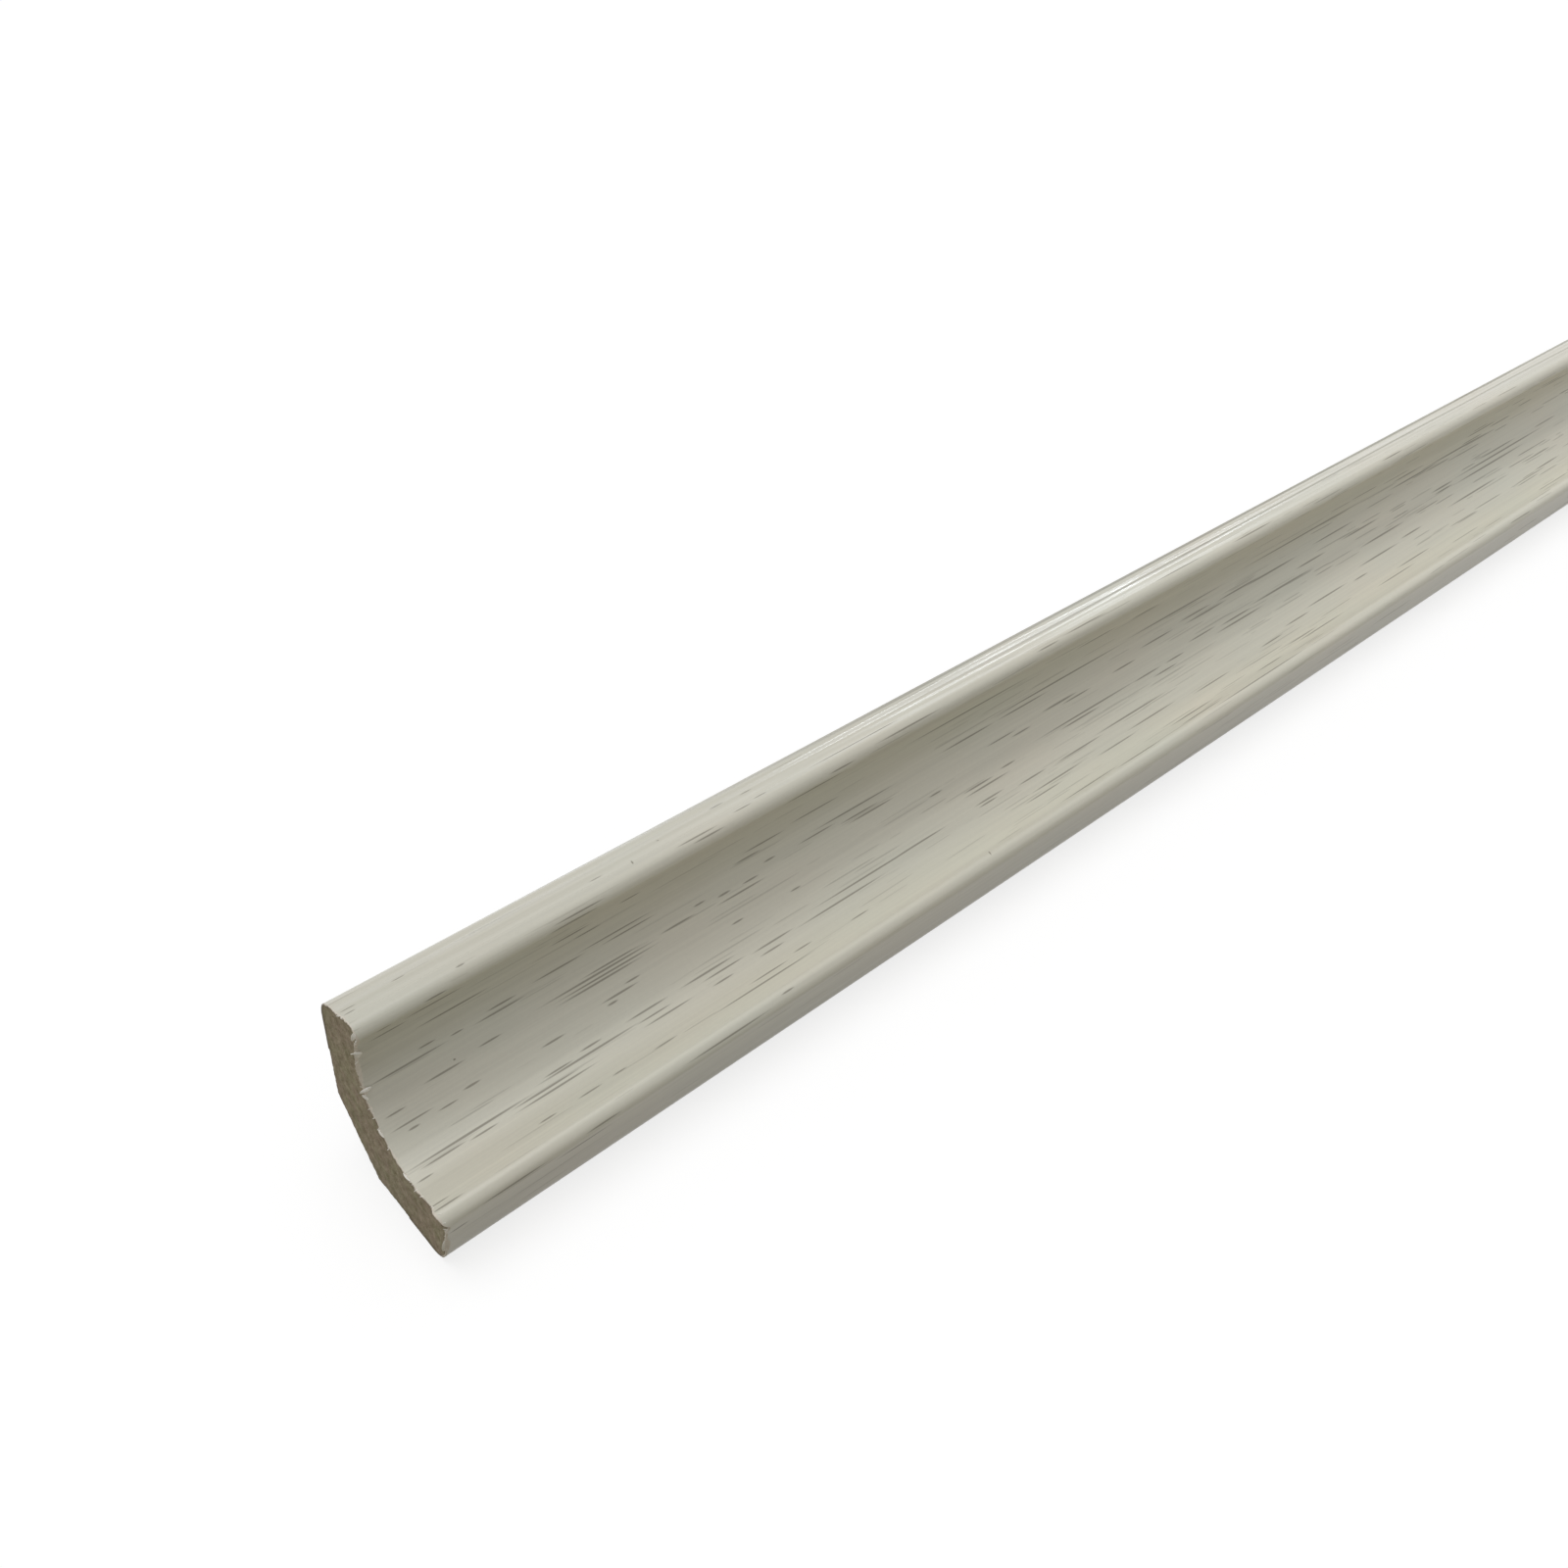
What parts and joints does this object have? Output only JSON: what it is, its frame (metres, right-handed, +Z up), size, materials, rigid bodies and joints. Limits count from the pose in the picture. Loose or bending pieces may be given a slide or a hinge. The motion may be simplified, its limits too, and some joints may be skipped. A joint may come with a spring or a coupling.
{
  "type": "scotia moulding",
  "caption": "Foil-wrapped MDF scotia trim with a concave front, wall leg, floor leg and chamfered back corner, for covering the joint between a floor and a skirting board.",
  "frame": {"origin": "centre of the moulding's box in plan, on the floor that its floor leg lies on", "axes": "+X along the length, +Y out of the wall face at the back, +Z up; the cove faces -Y and up"},
  "size_m": [2.4, 0.018, 0.018],
  "materials": {
    "decor_foil": "satin printed wood grain foil in pale greige",
    "mdf": "bare sawn and machined fibreboard, matt brown grey"
  },
  "bodies": {
    "root": {"scotia_moulding": "decor_foil"}
  },
  "joints": []
}
